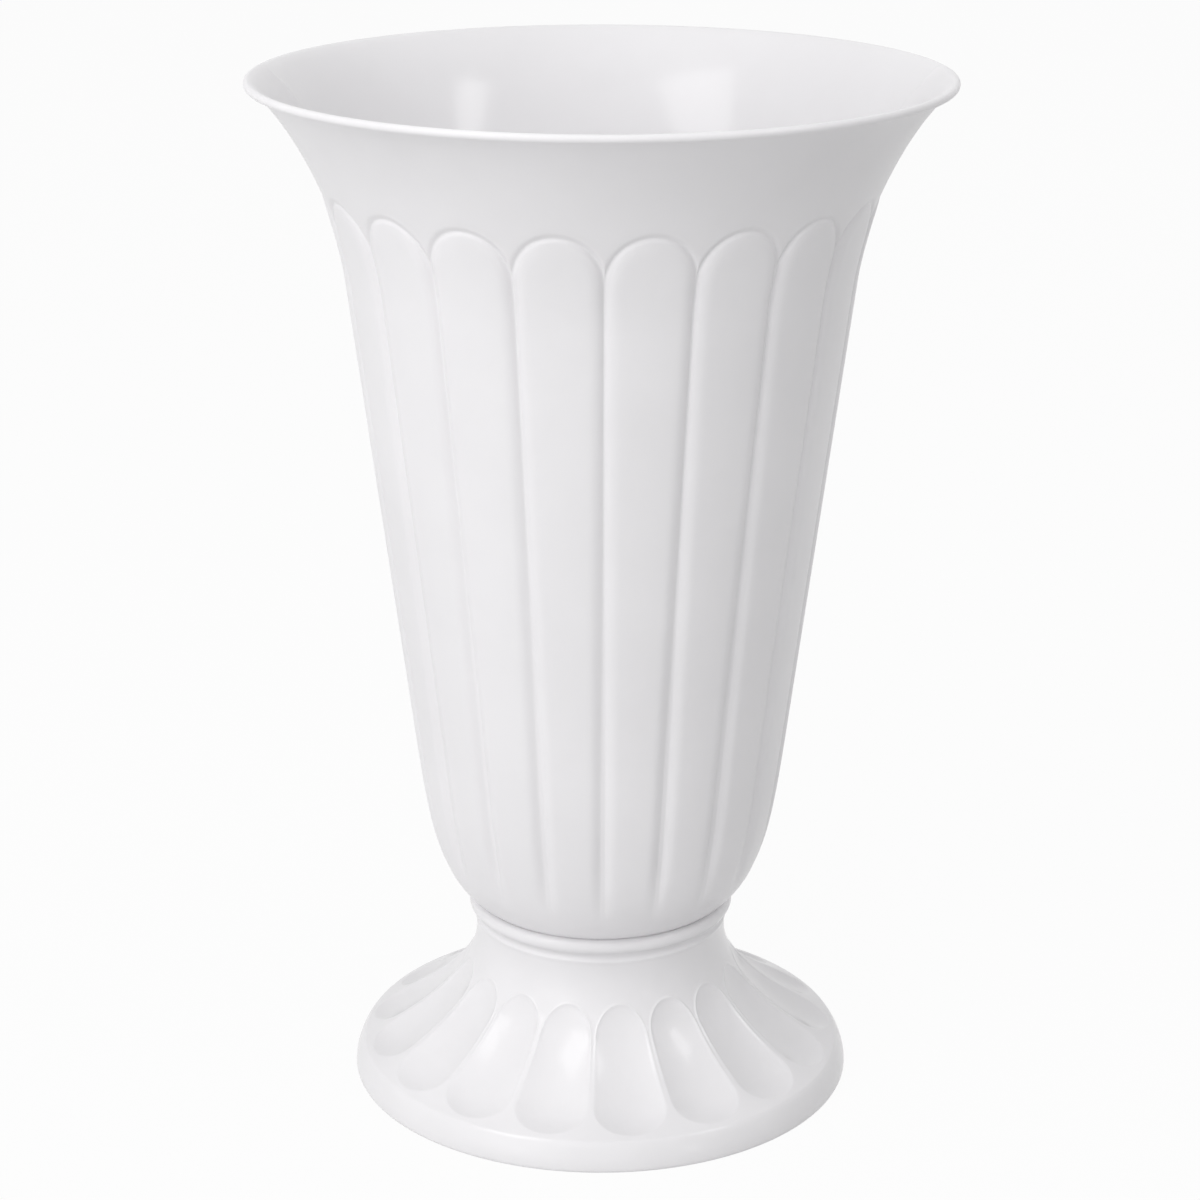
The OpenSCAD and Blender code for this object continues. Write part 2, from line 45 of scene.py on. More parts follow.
scene = bpy.context.scene


# Node trees, written as sums of fields

class Field:
    def __init__(self, tree, socket):
        self.tree = tree
        self.socket = socket

    def __add__(self, other):
        return calc(self.tree, "ADD", self, other)

    def __radd__(self, other):
        return calc(self.tree, "ADD", other, self)

    def __sub__(self, other):
        return calc(self.tree, "SUBTRACT", self, other)

    def __rsub__(self, other):
        return calc(self.tree, "SUBTRACT", other, self)

    def __mul__(self, other):
        return calc(self.tree, "MULTIPLY", self, other)

    def __rmul__(self, other):
        return calc(self.tree, "MULTIPLY", other, self)

    def __truediv__(self, other):
        return calc(self.tree, "DIVIDE", self, other)

    def __rtruediv__(self, other):
        return calc(self.tree, "DIVIDE", other, self)


def plug(tree, socket, value):
    if isinstance(value, Field):
        tree.links.new(value.socket, socket)
    else:
        socket.default_value = value


def addNode(tree, kind, settings=None, values=None):
    made = tree.nodes.new(kind)
    for name, value in (settings or {}).items():
        setattr(made, name, value)
    for name, value in (values or {}).items():
        if isinstance(name, int):
            socket = made.inputs[name]
        else:
            socket = next(s for s in made.inputs if s.name == name and s.enabled)
        plug(tree, socket, value)
    return made


def out(tree, made, name=None):
    if name is None:
        return Field(tree, made.outputs[0])
    return Field(tree, next(s for s in made.outputs if s.name == name and s.enabled))


def calc(tree, operation, *values):
    made = addNode(tree, "ShaderNodeMath", {"operation": operation}, dict(enumerate(values)))
    return out(tree, made)


def clamped(tree, value, low, high):
    return calc(tree, "MINIMUM", calc(tree, "MAXIMUM", value, low), high)


def split(tree, vector):
    made = addNode(tree, "ShaderNodeSeparateXYZ", values={0: vector})
    return [Field(tree, socket) for socket in made.outputs]


def joined(tree, x, y, z):
    return out(tree, addNode(tree, "ShaderNodeCombineXYZ", values={0: x, 1: y, 2: z}))


def ruleTree(name, sizes, objects=()):
    # A tree whose inputs are named sizes: whole numbers, lengths and shares, and helper objects
    tree = bpy.data.node_groups.new(name, "GeometryNodeTree")
    tree.interface.new_socket("Geometry", in_out="INPUT", socket_type="NodeSocketGeometry")
    tree.interface.new_socket("Geometry", in_out="OUTPUT", socket_type="NodeSocketGeometry")
    for label, value in sizes.items():
        kind = "NodeSocketInt" if isinstance(value, int) else "NodeSocketFloat"
        tree.interface.new_socket(label, in_out="INPUT", socket_type=kind).default_value = value
    for label in objects:
        tree.interface.new_socket(label, in_out="INPUT", socket_type="NodeSocketObject")
    given = tree.nodes.new("NodeGroupInput")
    fields = {socket.name: Field(tree, socket) for socket in given.outputs if socket.name}
    return tree, fields


def setInput(modifier, label, value):
    for item in modifier.node_group.interface.items_tree:
        if item.item_type == "SOCKET" and item.in_out == "INPUT" and item.name == label:
            modifier[item.identifier] = value


def finishTree(tree, geometry, material, weld=True):
    if weld:
        geometry = out(tree, addNode(tree, "GeometryNodeMergeByDistance", values={
            "Geometry": geometry, "Distance": weldDistance * mm}))
    smooth = addNode(tree, "GeometryNodeSetShadeSmooth", values={"Geometry": geometry})
    real = addNode(tree, "GeometryNodeRealizeInstances", values={"Geometry": out(tree, smooth)})
    coated = addNode(tree, "GeometryNodeSetMaterial", values={"Geometry": out(tree, real)})
    coated.inputs["Material"].default_value = material
    end = tree.nodes.new("NodeGroupOutput")
    tree.links.new(coated.outputs[0], end.inputs[0])


def plainMesh(name, start, tree, settings, angle):
    # Runs the tree once and keeps its result as a plain mesh at the origin
    modifier = start.modifiers.new("rule", "NODES")
    modifier.node_group = tree
    for label, value in settings.items():
        setInput(modifier, label, value)
    bpy.context.view_layer.update()
    depsgraph = bpy.context.evaluated_depsgraph_get()
    mesh = bpy.data.meshes.new_from_object(start.evaluated_get(depsgraph), depsgraph=depsgraph)
    start.modifiers.remove(modifier)
    bpy.data.objects.remove(start)
    mesh.name = name
    for attribute in [a.name for a in mesh.attributes if a.name.startswith("row")]:
        mesh.attributes.remove(mesh.attributes[attribute])
    mesh.set_sharp_from_angle(angle=math.radians(angle))
    piece = bpy.data.objects.new(name, mesh)
    scene.collection.objects.link(piece)
    return piece


def rowObject(name, rows, attributes):
    # Rows as a line of points: x is the radius and z the height, with vectors of numbers on each
    mesh = bpy.data.meshes.new(name)
    mesh.from_pydata([(row["r"] * mm, 0, row["z"] * mm) for row in rows], [], [])
    for label, keys in attributes.items():
        layer = mesh.attributes.new(label, "FLOAT_VECTOR", "POINT")
        values = [[row.get(key, 0) for key in keys] for row in rows]
        layer.data.foreach_set("vector", np.array(values, np.float32).ravel())
    made = bpy.data.objects.new(name, mesh)
    scene.collection.objects.link(made)
    return made


def rowGrid(tree, rowCount, columns):
    # A grid of rows and columns, with how far round and in which row each of its points lies
    grid = addNode(tree, "GeometryNodeMeshGrid", values={
        "Size X": 1.0, "Size Y": 1.0, "Vertices X": columns + 1, "Vertices Y": rowCount})
    place = split(tree, out(tree, addNode(tree, "GeometryNodeInputPosition")))
    rowIndex = calc(tree, "ROUND", (place[1] + 0.5) * (rowCount - 1))
    return out(tree, grid), place[0] + 0.5, rowIndex


def storedVector(tree, label):
    # The numbers that the points of a mesh carry under the label
    named = addNode(tree, "GeometryNodeInputNamedAttribute", {"data_type": "FLOAT_VECTOR"}, {
        "Name": label})
    return out(tree, named, "Attribute")


def fromRow(tree, fields, rowIndex, label=None):
    # What the row says: its place, or the numbers that it carries under the label
    if label is None:
        source = out(tree, addNode(tree, "GeometryNodeInputPosition"))
    else:
        source = storedVector(tree, label)
    sampled = addNode(tree, "GeometryNodeSampleIndex", {"data_type": "FLOAT_VECTOR", "domain": "POINT"}, {
        "Geometry": fields["Geometry"], "Value": source, "Index": rowIndex})
    return split(tree, out(tree, sampled))


def spread(tree, around, count, crowding):
    # From how far round a column lies: the number of its petal or scallop, and -1 to 1 across it,
    # crowded towards the edges
    along = around * count
    number = calc(tree, "FLOOR", along + 0.0001)  # a column on the border counts to the next one
    even = (along - number) * 2.0 - 1.0
    return number, even + calc(tree, "SINE", even * math.pi) * (crowding / math.pi)


def repeatTree(name, material):
    # One member repeated at even turns round the axis
    tree, fields = ruleTree(name, {"Count": 3, "First turn": 0.0})
    members = addNode(tree, "GeometryNodePoints", values={"Count": fields["Count"]})
    index = out(tree, addNode(tree, "GeometryNodeInputIndex"))
    turn = (fields["First turn"] + index * 360.0 / fields["Count"]) * (math.pi / 180)
    rotation = addNode(tree, "FunctionNodeEulerToRotation", values={0: joined(tree, 0.0, 0.0, turn)})
    placedMembers = addNode(tree, "GeometryNodeInstanceOnPoints", values={
        "Points": out(tree, members), "Instance": fields["Geometry"], "Rotation": out(tree, rotation)})
    finishTree(tree, out(tree, placedMembers), material, weld=False)
    return tree


def placed(tree, grid, radius, turn, height):
    # Turns run from the front, towards the viewer's right
    x = radius * calc(tree, "SINE", turn)
    y = radius * calc(tree, "COSINE", turn) * -1.0
    place = joined(tree, x, y, height)
    return out(tree, addNode(tree, "GeometryNodeSetPosition", values={"Geometry": grid, "Position": place}))


# Curves

def bezier(a, b, c, d, steps):
    t = np.linspace(0, 1, steps + 1)[:, None]
    s = 1 - t
    a, b, c, d = (np.array(p, float) for p in (a, b, c, d))
    return s ** 3 * a + 3 * s * s * t * b + 3 * s * t * t * c + t ** 3 * d


def smooth(t):
    t = min(max(t, 0), 1)
    return t * t * (3 - 2 * t)


def arc(centre, radius, start, end, steps):
    angles = np.radians(np.linspace(start, end, steps + 1))
    return [(centre[0] + radius * math.cos(a), centre[1] + radius * math.sin(a)) for a in angles]


# Materials

def shaderMaterial(name):
    material = bpy.data.materials.new(name)
    material.use_nodes = True
    tree = material.node_tree
    shader = tree.nodes["Principled BSDF"]
    coordinates = out(tree, tree.nodes.new("ShaderNodeTexCoord"), "Object")
    return material, tree, shader, coordinates


def noise(tree, coordinates, scale, detail, roughness=0.5):
    made = addNode(tree, "ShaderNodeTexNoise", values={
        "Vector": coordinates, "Scale": scale, "Detail": detail, "Roughness": roughness})
    return out(tree, made)


def ranged(tree, value, low, high, start=0.0, end=1.0):
    made = addNode(tree, "ShaderNodeMapRange", values={
        "Value": value, "From Min": start, "From Max": end, "To Min": low, "To Max": high})
    return out(tree, made)


def bumped(tree, shader, height, depth, strength):
    bump = addNode(tree, "ShaderNodeBump", values={
        "Height": height, "Distance": depth * mm, "Strength": strength})
    plug(tree, shader.inputs["Normal"], out(tree, bump))


def mixedColour(tree, factor, first, second):
    made = addNode(tree, "ShaderNodeMix", {"data_type": "RGBA"}, {
        "Factor": factor, "A": (*first, 1), "B": (*second, 1)})
    return out(tree, made, "Result")


def cloudTone(tree, cloud):
    # The middle of the cloud, spread from 0 to 1
    return ranged(tree, cloud, 0.0, 1.0, 0.35, 0.65)


# Colours and roughness are ranges, a pattern is its scale per metre and its detail, and a bump is
# its depth in millimetres and its strength
finishes = {
    "bodyLight": (0.835, 0.825, 0.84),
    "bodyShade": (0.81, 0.8, 0.815),
    "bodyRoughness": (0.3, 0.38),
    "bodyCloud": (14.0, 3.0),
    "bodyGrain": (900.0, 2.0),
    "bodyBump": (0.05, 0.35),
    "bodySpecular": 0.35,
    "insideSpecular": 0.12,
    "insideSkin": 0.6,
    "insideSkinRoughness": 0.14,
    "footLight": (0.82, 0.81, 0.825),
    "footShade": (0.795, 0.785, 0.8),
    "footRoughness": (0.3, 0.36),
    "footCloud": (20.0, 3.0),
    "footRipple": (60.0, 2.0),
    "footBump": (0.2, 0.5),
    "footSpecular": 0.35,
    "footSkin": 0.4,
    "footSkinRoughness": 0.13,
    "screwLight": (0.62, 0.63, 0.65),
    "screwShade": (0.5, 0.51, 0.53),
    "screwRoughness": (0.25, 0.45),
    "screwCloud": (300.0, 4.0),
    "screwGrain": (2500.0, 2.0),
    "screwBump": (0.02, 0.4),
    "plugLight": (0.74, 0.74, 0.72),
    "plugShade": (0.68, 0.68, 0.66),
    "plugRoughness": (0.3, 0.42),
    "plugCloud": (80.0, 3.0),
    "plugGrain": (700.0, 2.0),
    "plugBump": (0.04, 0.3),
}


def bodyPlasticMaterial():
    # Satin moulded plastic: a faint cloudiness and fine mould grain, with a smoother skin on the inside
    material, tree, shader, coordinates = shaderMaterial("satinWhitePlastic")
    cloud = noise(tree, coordinates, *finishes["bodyCloud"])
    grain = noise(tree, coordinates, *finishes["bodyGrain"])
    tone = cloudTone(tree, cloud)
    colour = mixedColour(tree, tone, finishes["bodyLight"], finishes["bodyShade"])
    plug(tree, shader.inputs["Base Color"], colour)
    inside = out(tree, addNode(tree, "ShaderNodeAttribute", {"attribute_name": "inside"}), "Fac")
    plug(tree, shader.inputs["Roughness"], ranged(tree, cloud, *finishes["bodyRoughness"]))
    lessSpecular = finishes["insideSpecular"] - finishes["bodySpecular"]
    plug(tree, shader.inputs["Specular IOR Level"], finishes["bodySpecular"] + inside * lessSpecular)
    plug(tree, shader.inputs["Coat Weight"], inside * finishes["insideSkin"])
    shader.inputs["Coat Roughness"].default_value = finishes["insideSkinRoughness"]
    bumped(tree, shader, grain, *finishes["bodyBump"])
    return material


def footPlasticMaterial():
    # Polished moulded plastic: a glossy skin with a slight ripple
    material, tree, shader, coordinates = shaderMaterial("glossWhitePlastic")
    cloud = noise(tree, coordinates, *finishes["footCloud"])
    ripple = noise(tree, coordinates, *finishes["footRipple"])
    tone = cloudTone(tree, cloud)
    colour = mixedColour(tree, tone, finishes["footLight"], finishes["footShade"])
    plug(tree, shader.inputs["Base Color"], colour)
    plug(tree, shader.inputs["Roughness"], ranged(tree, cloud, *finishes["footRoughness"]))
    shader.inputs["Specular IOR Level"].default_value = finishes["footSpecular"]
    shader.inputs["Coat Weight"].default_value = finishes["footSkin"]
    shader.inputs["Coat Roughness"].default_value = finishes["footSkinRoughness"]
    bumped(tree, shader, ripple, *finishes["footBump"])
    return material


def steelMaterial():
    material, tree, shader, coordinates = shaderMaterial("zincedSteel")
    cloud = noise(tree, coordinates, *finishes["screwCloud"])
    colour = mixedColour(tree, cloud, finishes["screwLight"], finishes["screwShade"])
    plug(tree, shader.inputs["Base Color"], colour)
    shader.inputs["Metallic"].default_value = 1.0
    plug(tree, shader.inputs["Roughness"], ranged(tree, cloud, *finishes["screwRoughness"]))
    grain = noise(tree, coordinates, *finishes["screwGrain"])
    bumped(tree, shader, grain, *finishes["screwBump"])
    return material


def plugMaterial():
    material, tree, shader, coordinates = shaderMaterial("plugPlastic")
    cloud = noise(tree, coordinates, *finishes["plugCloud"])
    colour = mixedColour(tree, cloud, finishes["plugLight"], finishes["plugShade"])
    plug(tree, shader.inputs["Base Color"], colour)
    plug(tree, shader.inputs["Roughness"], ranged(tree, cloud, *finishes["plugRoughness"]))
    grain = noise(tree, coordinates, *finishes["plugGrain"])
    bumped(tree, shader, grain, *finishes["plugBump"])
    return material


bodyPlastic = bodyPlasticMaterial()
footPlastic = footPlasticMaterial()
screwSteel = steelMaterial()
plugPlastic = plugMaterial()
print("materials made")


# The body: rows of a closed outline, turned round by a tree that raises the petals

bodySizes = {
    "height": 500.0,
    "rimAcross": 328.0,
    "beadAcross": 3.9,
    "rimSlope": 1.18,
    "bandAcross": 261.4,
    "bandDrop": 50.0,
    "bandSlope": 0.43,
    "taperTopAcross": 239.8,
    "taperTopDrop": 95.0,
    "taperLowAcross": 183.6,
    "taperLowHeight": 97.0,
    "floorEdgeAcross": 108.0,
    "floorEdgeRise": 2.0,
    "deckHeight": 86.0,
    "wall": 2.5,
    "floor": 3.0,
    "drainAcross": 16.0,
    "spigotWall": 6.0,
    "spigotLength": 5.0,
    "petals": 19,
    "petalTurn": 0.6,
    "grooveTopDepth": 2.4,
    "grooveLowDepth": 2.2,
    "grooveFloor": 1.6,
    "shoulderWidth": 6.0,
    "flankShare": 0.15,
    "grooveSoftness": 0.12,
    "archHeight": 22.8,
    "lineDepth": 1.1,
    "lineWidth": 2.6,
    "lineFade": 30.0,
    "grooveEnd": 18.0,
    "grooveFull": 52.0,
    "bowlLowPull": 0.73,
    "bowlLowSlope": 0.41,
    "bowlTopPull": 0.53,
    "shoulderPull": 0.33,
    "bandPull": 0.7,
    "lipLowPull": 0.29,
    "lipTopPull": 0.23,
    "groovePull": 0.45,
    "archBend": 14.0,
    "archReach": 1.26,
    "archFade": 9.0,
    "taperRows": 19,
    "lipRows": 18,
    "innerLipRows": 28,
    "innerBandRows": 12,
    "innerTaperRows": 8,
    "columnsPerPetal": 28,
    "crowding": 0.78,
}


def bodyOutline(size):
    # Radius against height over the petals and along the grooves
    low = size["deckHeight"]
    top = size["height"]
    beadR = size["beadAcross"] / 2
    bead = (size["rimAcross"] / 2 - beadR, top - beadR)
    taperTop = (size["taperTopAcross"] / 2, top - size["taperTopDrop"])
    taperLow = (size["taperLowAcross"] / 2, low + size["taperLowHeight"])
    floorEdge = (size["floorEdgeAcross"] / 2, low + size["floorEdgeRise"])
    band = (size["bandAcross"] / 2, top - size["bandDrop"])
    cuspHeight = band[1] - size["archHeight"]
    slope = (taperTop[0] - taperLow[0]) / (taperTop[1] - taperLow[1])
    lowPull = size["bowlLowPull"] * (taperLow[0] - floorEdge[0])
    topPull = size["bowlTopPull"] * (taperLow[1] - floorEdge[1])
    bowl = bezier(floorEdge, (floorEdge[0] + lowPull, floorEdge[1] + size["bowlLowSlope"] * lowPull),
                  (taperLow[0] - slope * topPull, taperLow[1] - topPull), taperLow, 80)
    pull = size["shoulderPull"] * (band[1] - taperTop[1])
    bandPull = size["bandPull"] * size["bandSlope"] * pull
    shoulder = bezier(taperTop, (taperTop[0] + slope * pull, taperTop[1] + pull),
                      (band[0] - bandPull, band[1] - pull), band, 60)
    lipLow = size["lipLowPull"] * size["bandDrop"]
    lipTop = size["lipTopPull"] * size["bandDrop"]
    lip = bezier(band, (band[0] + size["bandSlope"] * lipLow, band[1] + lipLow),
                 (bead[0] - size["rimSlope"] * lipTop, bead[1] - lipTop), bead, 60)
    crown = np.vstack([bowl, shoulder, lip[1:]])
    grooveTop = (taperTop[0] - size["grooveTopDepth"] + size["lineDepth"], taperTop[1])
    groovePull = size["groovePull"] * (band[1] - taperTop[1])
    groove = bezier(grooveTop, (grooveTop[0] + slope * pull, grooveTop[1] + pull),
                    (band[0] - size["bandSlope"] * groovePull, band[1] - groovePull), band, 90)
    groove = np.vstack([groove, lip[1:]])
    return {"crown": crown, "groove": groove, "bowl": bowl, "bead": bead, "beadR": beadR,
            "cuspHeight": cuspHeight, "band": band, "taperTop": taperTop, "taperLow": taperLow}


def bodyRules(size, line):
    low = size["deckHeight"]
    grooveEnd = low + size["grooveEnd"]
    grooveFull = low + size["grooveFull"]
    crown = line["crown"]
    groove = line["groove"]

    def crownAt(z):
        return float(np.interp(z, crown[:, 1], crown[:, 0]))

    def fadeAt(z):
        return smooth((z - line["taperTop"][1]) / size["lineFade"] + 1)

    def riseAt(z):
        if z < line["taperTop"][1]:
            along = (z - line["taperLow"][1]) / (line["taperTop"][1] - line["taperLow"][1])
            share = min(max(along, 0), 1)
            depth = size["grooveLowDepth"] + (size["grooveTopDepth"] - size["grooveLowDepth"]) * share
            depth *= smooth((z - grooveEnd) / (grooveFull - grooveEnd))
            return max(depth - size["lineDepth"] * fadeAt(z), 0)
        return max(crownAt(z) - float(np.interp(z, groove[:, 1], groove[:, 0])), 0)

    def wallAt(z):
        z = min(max(z, crown[0][1] + 0.5), crown[-1][1] - 0.5)
        slope = crownAt(z + 0.5) - crownAt(z - 0.5)
        return size["wall"] * math.sqrt(1 + slope * slope)

    return crownAt, fadeAt, riseAt, wallAt


def bodyRows(size):
    # The closed outline as rows, from the spigot's end over the outside and back down the inside
    line = bodyOutline(size)
    crownAt, fadeAt, riseAt, wallAt = bodyRules(size, line)
    low = size["deckHeight"]
    drainR = size["drainAcross"] / 2
    spigotR = drainR + size["spigotWall"]
    spigotLow = low - size["spigotLength"]
    floorTop = low + size["floor"]
    edgeR = size["floorEdgeAcross"] / 2
    rows = []

    def plainRow(r, z):
        rows.append({"r": r, "z": z, "inside": 1, "flatten": 1})

    def outsideRow(z, follow=0.0, drop=0.0, flatten=1.0):
        rows.append({"r": crownAt(z), "z": z, "rise": riseAt(z), "inside": 0,
                     "follow": follow, "drop": drop * mm, "flatten": flatten})

    for r, z in [(drainR, spigotLow + 0.4), (drainR + 0.4, spigotLow), (spigotR - 1, spigotLow),
                 (spigotR, spigotLow + 1), (spigotR, low - 0.3), (spigotR + 0.3, low), (edgeR - 14, low),
                 (edgeR - 4.6, low), (edgeR - 3.6, low + 0.2)]:
        plainRow(r, z)
    bowl = line["bowl"]
    for i in list(range(0, 40, 4)) + list(range(41, 81, 3)):
        outsideRow(float(bowl[i][1]))
    for z in np.linspace(line["taperLow"][1], line["taperTop"][1], size["taperRows"])[1:]:
        outsideRow(float(z))
    # Rows that bend over the arches: how far out on the petal each lies, from its middle to past
    # the fine line
    cuspZ = line["cuspHeight"]
    for drop in (20.0, 17.0):
        outsideRow(cuspZ - drop)
    for follow in (0.0, 0.15, 0.3, 0.42, 0.52, 0.6, 0.67, 0.73, 0.78, 0.825, 0.865, 0.895, 0.918, 0.938,
                   0.955, 0.97, 0.985, 1.0):
        outsideRow(cuspZ, follow, size["archBend"] * (1 - follow), 0.0)
    for follow in (1.013, 1.028, 1.045, 1.065, 1.09, 1.13, 1.19, size["archReach"]):
        outsideRow(cuspZ, follow, 0.0, 0.0)
    flatZ = line["band"][1] + size["archFade"]
    for share in (0.33, 0.66, 1.0):
        outsideRow(flatZ, size["archReach"], 0.0, share)
    bead = line["bead"]
    beadR = line["beadR"]
    slope = size["rimSlope"]
    meetZ = bead[1] - beadR / math.hypot(slope, 1)
    for z in np.linspace(flatZ, meetZ, size["lipRows"])[1:]:
        outsideRow(float(z))
    for r, z in arc(bead, beadR, 180 + math.degrees(math.atan2(1, slope)) + 8, 450, 14):
        plainRow(r, z)
    innerTop = bead[1] - 1.2
    innerR = crownAt(innerTop) - wallAt(innerTop)
    turn = bezier((bead[0], size["height"]), (bead[0] - 1.5, size["height"]),
                  (innerR + 1.1, innerTop + 1.0), (innerR, innerTop), 7)
    for r, z in turn[1:]:
        plainRow(float(r), float(z))
    heights = list(np.linspace(innerTop, line["band"][1], size["innerLipRows"])[1:])
    heights += list(np.linspace(line["band"][1], line["taperTop"][1], size["innerBandRows"])[1:])
    heights += list(np.linspace(line["taperTop"][1], line["taperLow"][1], size["innerTaperRows"])[1:])
    heights += [float(bowl[i][1]) for i in range(76, 3, -5) if bowl[i][1] > floorTop + 1.5]
    for z in heights:
        rows.append({"r": crownAt(z) - wallAt(z), "z": float(z), "rise": riseAt(z), "inside": 1,
                     "flatten": 1})
    floorR = crownAt(floorTop) - wallAt(floorTop)
    for r, z in [(floorR + 1.5, floorTop + 0.35), (floorR - 3, floorTop), (edgeR - 16, floorTop),
                 (drainR + 6, floorTop), (drainR + 0.8, floorTop), (drainR, floorTop - 0.8),
                 (drainR, spigotLow + 0.4)]:
        plainRow(r, z)
    return rows, line, (crownAt, fadeAt, riseAt)


def outlineRibbon(name, line, rules):
    # A narrow upright ribbon along the outline, which the tree looks up radius and relief on
    crownAt, fadeAt, riseAt = rules
    overArches = np.linspace(line["cuspHeight"], line["band"][1], 60)
    heights = np.unique(np.concatenate([line["crown"][:, 1], line["groove"][:, 1], overArches]))
    half = 2.0
    verts = [(crownAt(z) * mm, side * half * mm, float(z) * mm) for z in heights for side in (-1, 1)]
    faces = [(2 * i, 2 * i + 1, 2 * i + 3, 2 * i + 2) for i in range(len(heights) - 1)]
    mesh = bpy.data.meshes.new(name)
    mesh.from_pydata(verts, [], faces)
    layer = mesh.attributes.new("relief", "FLOAT_VECTOR", "POINT")
    values = [(riseAt(z) * mm, fadeAt(z), 0) for z in heights for side in (-1, 1)]
    layer.data.foreach_set("vector", np.array(values, np.float32).ravel())
    made = bpy.data.objects.new(name, mesh)
    scene.collection.objects.link(made)
    return made


def petalTree(rowCount, material):
    tree, fields = ruleTree("petalShell", {
        "Petals": 19, "Columns per petal": 24, "Crowding": 0.7, "First groove": 0.0, "Cusp height": 0.4,
        "Arch height": 0.02, "Groove floor": 0.001, "Shoulder width": 0.008, "Flank share": 0.3,
        "Groove softness": 0.1, "Line depth": 0.001, "Line half width": 0.001, "Half petal width": 0.02},
        ("Outline",))
    grid, around, rowIndex = rowGrid(tree, rowCount, fields["Petals"] * fields["Columns per petal"])
    rowRadius, _, rowHeight = fromRow(tree, fields, rowIndex)
    follow, drop, flatten = fromRow(tree, fields, rowIndex, "rowArch")
    rowRise, inside, _ = fromRow(tree, fields, rowIndex, "rowRelief")
    number, across = spread(tree, around, fields["Petals"], fields["Crowding"])
    turned = (number + (across + 1.0) * 0.5) * 360.0 / fields["Petals"]
    turn = (fields["First groove"] + turned) * (math.pi / 180)
    reach = calc(tree, "SQRT", calc(tree, "MAXIMUM", follow * follow - across * across, 0.0))
    arched = fields["Cusp height"] - drop + fields["Arch height"] * reach
    height = arched + (rowHeight - arched) * flatten
    # What the outline says at that height
    info = addNode(tree, "GeometryNodeObjectInfo", values={"Object": fields["Outline"]})
    ray = addNode(tree, "GeometryNodeRaycast", {"data_type": "FLOAT_VECTOR"}, {
        "Target Geometry": out(tree, info, "Geometry"), "Attribute": storedVector(tree, "relief"),
        "Source Position": joined(tree, 1.0, 0.0, height), "Ray Direction": (-1.0, 0.0, 0.0),
        "Ray Length": 2.0})
    hitRadius = split(tree, out(tree, ray, "Hit Position"))[0]
    hitRise, hitFade, _ = split(tree, out(tree, ray, "Attribute"))
    radius = rowRadius * inside + hitRadius * (1.0 - inside)
    rise = rowRise * inside + hitRise * (1.0 - inside)
    fade = hitFade * (1.0 - inside)
    # How far the point lies from the middle line of its petal: 1 is on the petal's outline
    above = calc(tree, "MAXIMUM", (height - fields["Cusp height"]) / fields["Arch height"], 0.0)
    outward = calc(tree, "SQRT", across * across + above * above)
    halfPetal = radius * math.pi / fields["Petals"]
    share = clamped(tree, fields["Shoulder width"] * (inside + 1.0) / halfPetal, 0.05, 0.95)
    reachIn = clamped(tree, (1.0 - outward - fields["Groove floor"] * 0.5 / halfPetal) / share, 0.0, 1.0)
    softness = fields["Groove softness"]
    softReach = calc(tree, "SQRT", reachIn * reachIn + softness * softness) - softness
    fullReach = calc(tree, "SQRT", 1.0 + softness * softness) - softness
    reached = softReach / fullReach
    # A groove falls at one slope near its bottom and rounds over to the petal's face
    flank = fields["Flank share"]
    steep = 2.0 / (1.0 + flank)
    curved = calc(tree, "MAXIMUM", reached, flank)
    uncurved = 1.0 - curved
    fallen = steep * uncurved * uncurved / ((1.0 - flank) * 2.0) - steep * (reached - curved)
    offLine = (outward - 1.0) * fields["Half petal width"] / fields["Line half width"]
    lineShape = calc(tree, "EXPONENT", offLine * offLine * -1.0)
    carved = radius - rise * fallen - fields["Line depth"] * lineShape * fade
    kept = addNode(tree, "GeometryNodeStoreNamedAttribute", {"data_type": "FLOAT", "domain": "POINT"}, {
        "Geometry": placed(tree, grid, carved, turn, height), "Name": "inside", "Value": inside})
    finishTree(tree, out(tree, kept), material)
    return tree


def makeBody():
    size = bodySizes
    rows, line, rules = bodyRows(size)
    for row in rows:
        row["rise"] = row.get("rise", 0) * mm
    start = rowObject("bodyRows", rows, {
        "rowArch": ("follow", "drop", "flatten"), "rowRelief": ("rise", "inside", "none")})
    ribbon = outlineRibbon("bodyOutline", line, rules)
    tree = petalTree(len(rows), bodyPlastic)
    piece = plainMesh("vaseBodyShell", start, tree, {
        "Petals": size["petals"],
        "Columns per petal": size["columnsPerPetal"],
        "Crowding": size["crowding"],
        "First groove": size["petalTurn"],
        "Cusp height": line["cuspHeight"] * mm,
        "Arch height": size["archHeight"] * mm,
        "Groove floor": size["grooveFloor"] * mm,
        "Shoulder width": size["shoulderWidth"] * mm,
        "Flank share": size["flankShare"],
        "Groove softness": size["grooveSoftness"],
        "Line depth": size["lineDepth"] * mm,
        "Line half width": size["lineWidth"] / 2 * mm,
        "Half petal width": math.pi * size["bandAcross"] / 2 / size["petals"] * mm,
        "Outline": ribbon,
    }, sharpAngle)
    bpy.data.objects.remove(ribbon)
    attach(piece, "vase")
    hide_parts("vase_body")
    return piece


bossSizes = {
    "count": 3,
    "firstTurn": 30.0,
    "circle": 72.0,
    "across": 12.0,
    "height": 15.0,
    "columns": 40,
}


